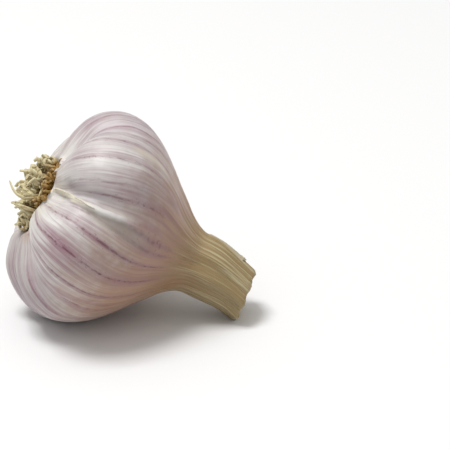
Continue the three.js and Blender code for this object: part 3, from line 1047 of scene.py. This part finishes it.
root_tubes(
    root_tree,
    set_roots,
    part * (1 - given["Gold"]),
    taper * given["Thickness"],
    drawn(0.0, FULL_TURN, 5) + part * drawn(-TWIST_DRAW, TWIST_DRAW, 6),
    drawn(0.0, 1.0, 7),
    given["Material"],
    made,
)


def root_material():
    """Dry root fibre: straw to grey, and ochre at the foot and in flecks."""
    material, tree, shader = new_material("dried root")
    part = result(tree, "ShaderNodeAttribute", None, "Fac", attribute_name="root part")
    shade = result(tree, "ShaderNodeAttribute", None, "Fac", attribute_name="root shade")
    grain = grained(tree, ROOT_GRAIN)
    straw = mixed(tree, shade.rising(*ROOT_GREYS) * ROOT_GREY_SHARE, STRAW_ROOT, GREY_ROOT)
    colour = mixed(tree, (part + (grain - 0.5) * FOOT_GRAIN).rising(*FOOT_FADES), OCHRE_ROOT, straw)
    colour = mixed(tree, grain.rising(*FLECK_RANGE) * FLECK_SHARE, colour, OCHRE_ROOT)
    feed(shader.inputs["Base Color"], colour)
    feed(shader.inputs["Roughness"], ROOT_ROUGHNESS + grain * ROOT_ROUGHNESS_GRAIN)
    roughen(tree, shader, grain, ROOT_BUMP_STRENGTH, ROOT_BUMP_DEPTH)
    return material


dry_root = root_material()
ROOT_GROUPS = (("thick_roots", THICK_ROOTS), ("fine_roots", FINE_ROOTS), ("edge_roots", EDGE_ROOTS))
for name, sizes in ROOT_GROUPS:
    roots = grow(name, root_tree, {**sizes, "Material": dry_root})
    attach(roots, "root")
    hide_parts("root_tuft")


# Stray roots
# Two longer dry roots at the front of the tuft that the trimming missed: one sweeps out and hooks upwards.
# They grow from the root plate like the others. The points along each are in millimetres: towards the neck,
# away from the front, and upwards.
STRAY_SIZES = {"Steps": 28, "Thickness": 1.0 * MM}
STRAY_TAPER = 0.7
STRAY_FOOT = (-0.3, 0.25)
STRAY_TWIST = 1.2
STRAY_SHADE = 0.2
HOOKED_ROOT = (
    (0.5, -4.0, 5.2),
    (-2.3, -7.1, 3.5),
    (-4.2, -8.4, 2.8),
    (-6.3, -9.0, 2.5),
    (-8.5, -8.2, 2.6),
    (-11.0, -6.2, 4.0),
)
STRAIGHT_ROOT = (
    (0.5, -7.8, -0.2),
    (-1.7, -8.9, 0.1),
    (-4.1, -9.7, 0.4),
    (-7.5, -9.7, 0.0),
)


def stray_strands():
    """The stray roots as curves in the bulb's own axes."""
    curve = bpy.data.curves.new("stray roots", "CURVE")
    curve.dimensions = "3D"
    for points in (HOOKED_ROOT, STRAIGHT_ROOT):
        spline = curve.splines.new("BEZIER")
        spline.bezier_points.add(len(points) - 1)
        for knot, place in zip(spline.bezier_points, points):
            knot.handle_left_type = knot.handle_right_type = "AUTO"
            knot.co = Vector(place) * MM
    strands = bpy.data.objects.new("stray roots", curve)
    bpy.context.collection.objects.link(strands)
    return strands


stray_tree, given, made = new_tree(
    "stray roots",
    "GeometryNodeTree",
    {
        "Strands": ("NodeSocketObject", None),
        "Material": ("NodeSocketMaterial", None),
        **size_sockets(STRAY_SIZES),
    },
    {"Geometry": "NodeSocketGeometry"},
)
strands = result(stray_tree, "GeometryNodeObjectInfo", {"Object": given["Strands"]}, "Geometry")
strands = result(stray_tree, "GeometryNodeResampleCurve", {"Curve": strands, "Count": given["Steps"]})
position = result(stray_tree, "GeometryNodeInputPosition")
moved = {"Geometry": strands, "Position": vector(stray_tree, *lying(*position.split()))}
part = result(stray_tree, "GeometryNodeSplineParameter", None, "Factor")
root_tubes(
    stray_tree,
    result(stray_tree, "GeometryNodeSetPosition", moved),
    part,
    given["Thickness"] * (1 - part * part * STRAY_TAPER) * part.rising(*STRAY_FOOT),
    part * STRAY_TWIST,
    STRAY_SHADE,
    given["Material"],
    made,
)
strand_curves = stray_strands()
stray = grow("stray_roots", stray_tree, {**STRAY_SIZES, "Strands": strand_curves, "Material": dry_root})
bpy.data.objects.remove(strand_curves)
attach(stray, "root")
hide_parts("root_tuft")


# Wrapper remnants
# What is left of the outermost leaf: a torn sliver along the front valley and a loose strip on the neck.
# They are thin dry leaf, still joined to the skin along one side and curling off it along the torn one.
SLIVER_SIZES = {
    "Angle From": 33.2,
    "Angle To": 36.8,
    "Share From": 0.155,
    "Share To": 0.38,
    "Taper": 0.9,
    "Ragged": 0.9,
    "Lean": 6.5,
    "Curl": 0.4 * MM,
    "Thickness": 0.16 * MM,
    "Seed": 1.0,
}
SLIVER_BLEACH = 0.75
NECK_STRIP_SIZES = {
    **SLIVER_SIZES,
    "Angle From": 92.0,
    "Angle To": 140.0,
    "Share From": 0.765,
    "Share To": 0.89,
    "Taper": 0.6,
    "Ragged": 9.0,
    "Lean": 0.0,
    "Curl": 0.7 * MM,
    "Seed": 2.0,
}
NECK_STRIP_BLEACH = 0.4
LEAF_COLUMNS = 60
LEAF_ROWS = 120
LEAF_GAP = 0.08 * MM

# Its torn side and end, as waves of a noise with a seed for each, and how far the end runs in and out
TORN_WAVES = 5
TORN_SIDE_SEED = 0.3
TORN_END_SEED = 5.3
TORN_END_DEPTH = 0.05

# Where it is rooted in the skin and how it curls off it
ROOTED_DEPTH = 0.4 * MM
ROOTED_SIDE = (0.0, 0.3)
ROOTED_FOOT = (0.0, 0.15)
CURL_POWER = 3
END_CURL = 0.5
LEAST_CURL = 0.6
TORN_CURL = 0.8

leaf_tree, given, made = new_tree(
    "wrapper leaf",
    "GeometryNodeTree",
    {
        "Outline": ("NodeSocketObject", None),
        "Material": ("NodeSocketMaterial", None),
        **size_sockets(SLIVER_SIZES),
    },
    {"Geometry": "NodeSocketGeometry"},
)
grid, grid_x, grid_y = flat_grid(leaf_tree, LEAF_COLUMNS, LEAF_ROWS)
across = 0.5 - grid_x
along = grid_y + 0.5
torn_side = cloudy(leaf_tree, vector(leaf_tree, along * TORN_WAVES, given["Seed"], TORN_SIDE_SEED), 2)
torn_end = cloudy(leaf_tree, vector(leaf_tree, across * TORN_WAVES, given["Seed"], TORN_END_SEED), 2)
width = 1 - given["Taper"] * along * along
leaf_angle = given["Angle From"] + (given["Angle To"] - given["Angle From"]) * across * width
leaf_angle = leaf_angle + (torn_side - 0.5) * given["Ragged"] * 2 * across + (1 - along) ** 2 * given["Lean"]
leaf_share = given["Share From"] + (given["Share To"] - given["Share From"]) * along
leaf_share = leaf_share + (torn_end - 0.5) * TORN_END_DEPTH * along
free = across.math("MAXIMUM", along * END_CURL) ** CURL_POWER
sunk = across.falling(*ROOTED_SIDE).math("MAXIMUM", along.falling(*ROOTED_FOOT)) * ROOTED_DEPTH
leaf_lift = free * given["Curl"] * (LEAST_CURL + torn_side * TORN_CURL) + LEAF_GAP - sunk
face = laid_on_skin(leaf_tree, grid, given["Outline"], leaf_angle, leaf_share, leaf_lift)
raised = {"Mesh": face, "Offset Scale": given["Thickness"], "Individual": False}
outer = result(leaf_tree, "GeometryNodeExtrudeMesh", raised)
inner = result(leaf_tree, "GeometryNodeFlipFaces", {"Mesh": face})
joined = add_node(leaf_tree, "GeometryNodeJoinGeometry")
feed(joined.inputs[0], inner)
feed(joined.inputs[0], outer)
both_faces = {"Geometry": Field(leaf_tree, joined.outputs[0]), "Distance": SEAM_GAP}
closed = result(leaf_tree, "GeometryNodeMergeByDistance", both_faces)
finish_tree(leaf_tree, closed, given["Material"], made)

WRAPPERS = (
    ("wrapper_sliver", "wrapper_front", SLIVER_SIZES, SLIVER_BLEACH),
    ("neck_strip", "wrapper_neck", NECK_STRIP_SIZES, NECK_STRIP_BLEACH),
)
for name, node, sizes, bleach in WRAPPERS:
    leaf_paper = papery_material(f"{name} leaf", bleach)
    leaf = grow(name, leaf_tree, {**sizes, "Outline": outline_curve, "Material": leaf_paper})
    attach(leaf, "root")
    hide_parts(node)
bpy.data.objects.remove(outline_curve)


# Studio
# A plain pale floor, an even sky that is brightest overhead, and one soft light from the upper left.
# The camera looks down on the bulb from the height of someone at the table.
FLOOR_HALF = 4.0
FLOOR_CORNERS = ((-1, -1), (1, -1), (1, 1), (-1, 1))
FLOOR_PAINT = {"Base Color": (0.8, 0.8, 0.8, 1), "Roughness": 0.8, "Specular IOR Level": 0.1}
floor_mesh = bpy.data.meshes.new("floor")
floor_mesh.from_pydata([(x * FLOOR_HALF, y * FLOOR_HALF, 0) for x, y in FLOOR_CORNERS], [], [(0, 1, 2, 3)])
floor = bpy.data.objects.new("floor", floor_mesh)
bpy.context.collection.objects.link(floor)
floor_paint, _, floor_shader = new_material("pale floor")
for label, value in FLOOR_PAINT.items():
    floor_shader.inputs[label].default_value = value
floor_mesh.materials.append(floor_paint)

HORIZON_LIGHT = 0.05
ZENITH_LIGHT = 0.95
SKY_COLOUR = (1.0, 0.99, 0.98, 1)
world = bpy.data.worlds.new("studio")
world.use_nodes = True
sky = world.node_tree
_, _, sky_height = result(sky, "ShaderNodeTexCoord", None, "Generated").split()
sky_light = HORIZON_LIGHT + sky_height.math("MAXIMUM", 0) * (ZENITH_LIGHT - HORIZON_LIGHT)
feed(sky.nodes["Background"].inputs["Strength"], sky_light)
feed(sky.nodes["Background"].inputs["Color"], SKY_COLOUR)
bpy.context.scene.world = world
bpy.context.scene.view_settings.view_transform = "Standard"

SUBJECT = Vector((0, 0, 24 * MM))
KEY_LIGHT_AT = Vector((-0.3, -0.1, 1.12))
KEY_LIGHT_SIDE = 0.4
KEY_LIGHT_WATTS = 9.5
key_light = bpy.data.lights.new("key light", "AREA")
key_light.shape = "SQUARE"
key_light.size = KEY_LIGHT_SIDE
key_light.energy = KEY_LIGHT_WATTS
key_lamp = bpy.data.objects.new("key light", key_light)
key_lamp.location = KEY_LIGHT_AT
key_lamp.rotation_euler = (SUBJECT - KEY_LIGHT_AT).to_track_quat("-Z", "Y").to_euler()
bpy.context.collection.objects.link(key_lamp)

IMAGE_SIDE = 450
SENSOR_SIDE = 36
VIEW_AZIMUTH = math.radians(8)
VIEW_ELEVATION = math.radians(27)
VIEW_DISTANCE = 0.7
PIXELS_PER_METRE = 3710
AIM_RIGHT = 25.4 * MM
AIM_UP = 1.75 * MM
right = Vector((math.cos(VIEW_AZIMUTH), math.sin(VIEW_AZIMUTH), 0))
level = Vector((-math.sin(VIEW_AZIMUTH), math.cos(VIEW_AZIMUTH), 0))
forward = level * math.cos(VIEW_ELEVATION) - Vector((0, 0, math.sin(VIEW_ELEVATION)))
aim = SUBJECT + right * AIM_RIGHT + right.cross(forward) * AIM_UP
lens = bpy.data.cameras.new("camera")
lens.sensor_width = SENSOR_SIDE
lens.lens = SENSOR_SIDE * PIXELS_PER_METRE * VIEW_DISTANCE / IMAGE_SIDE
camera = bpy.data.objects.new("camera", lens)
camera.location = SUBJECT - forward * VIEW_DISTANCE
camera.rotation_euler = (aim - camera.location).to_track_quat("-Z", "Y").to_euler()
bpy.context.collection.objects.link(camera)
bpy.context.scene.camera = camera
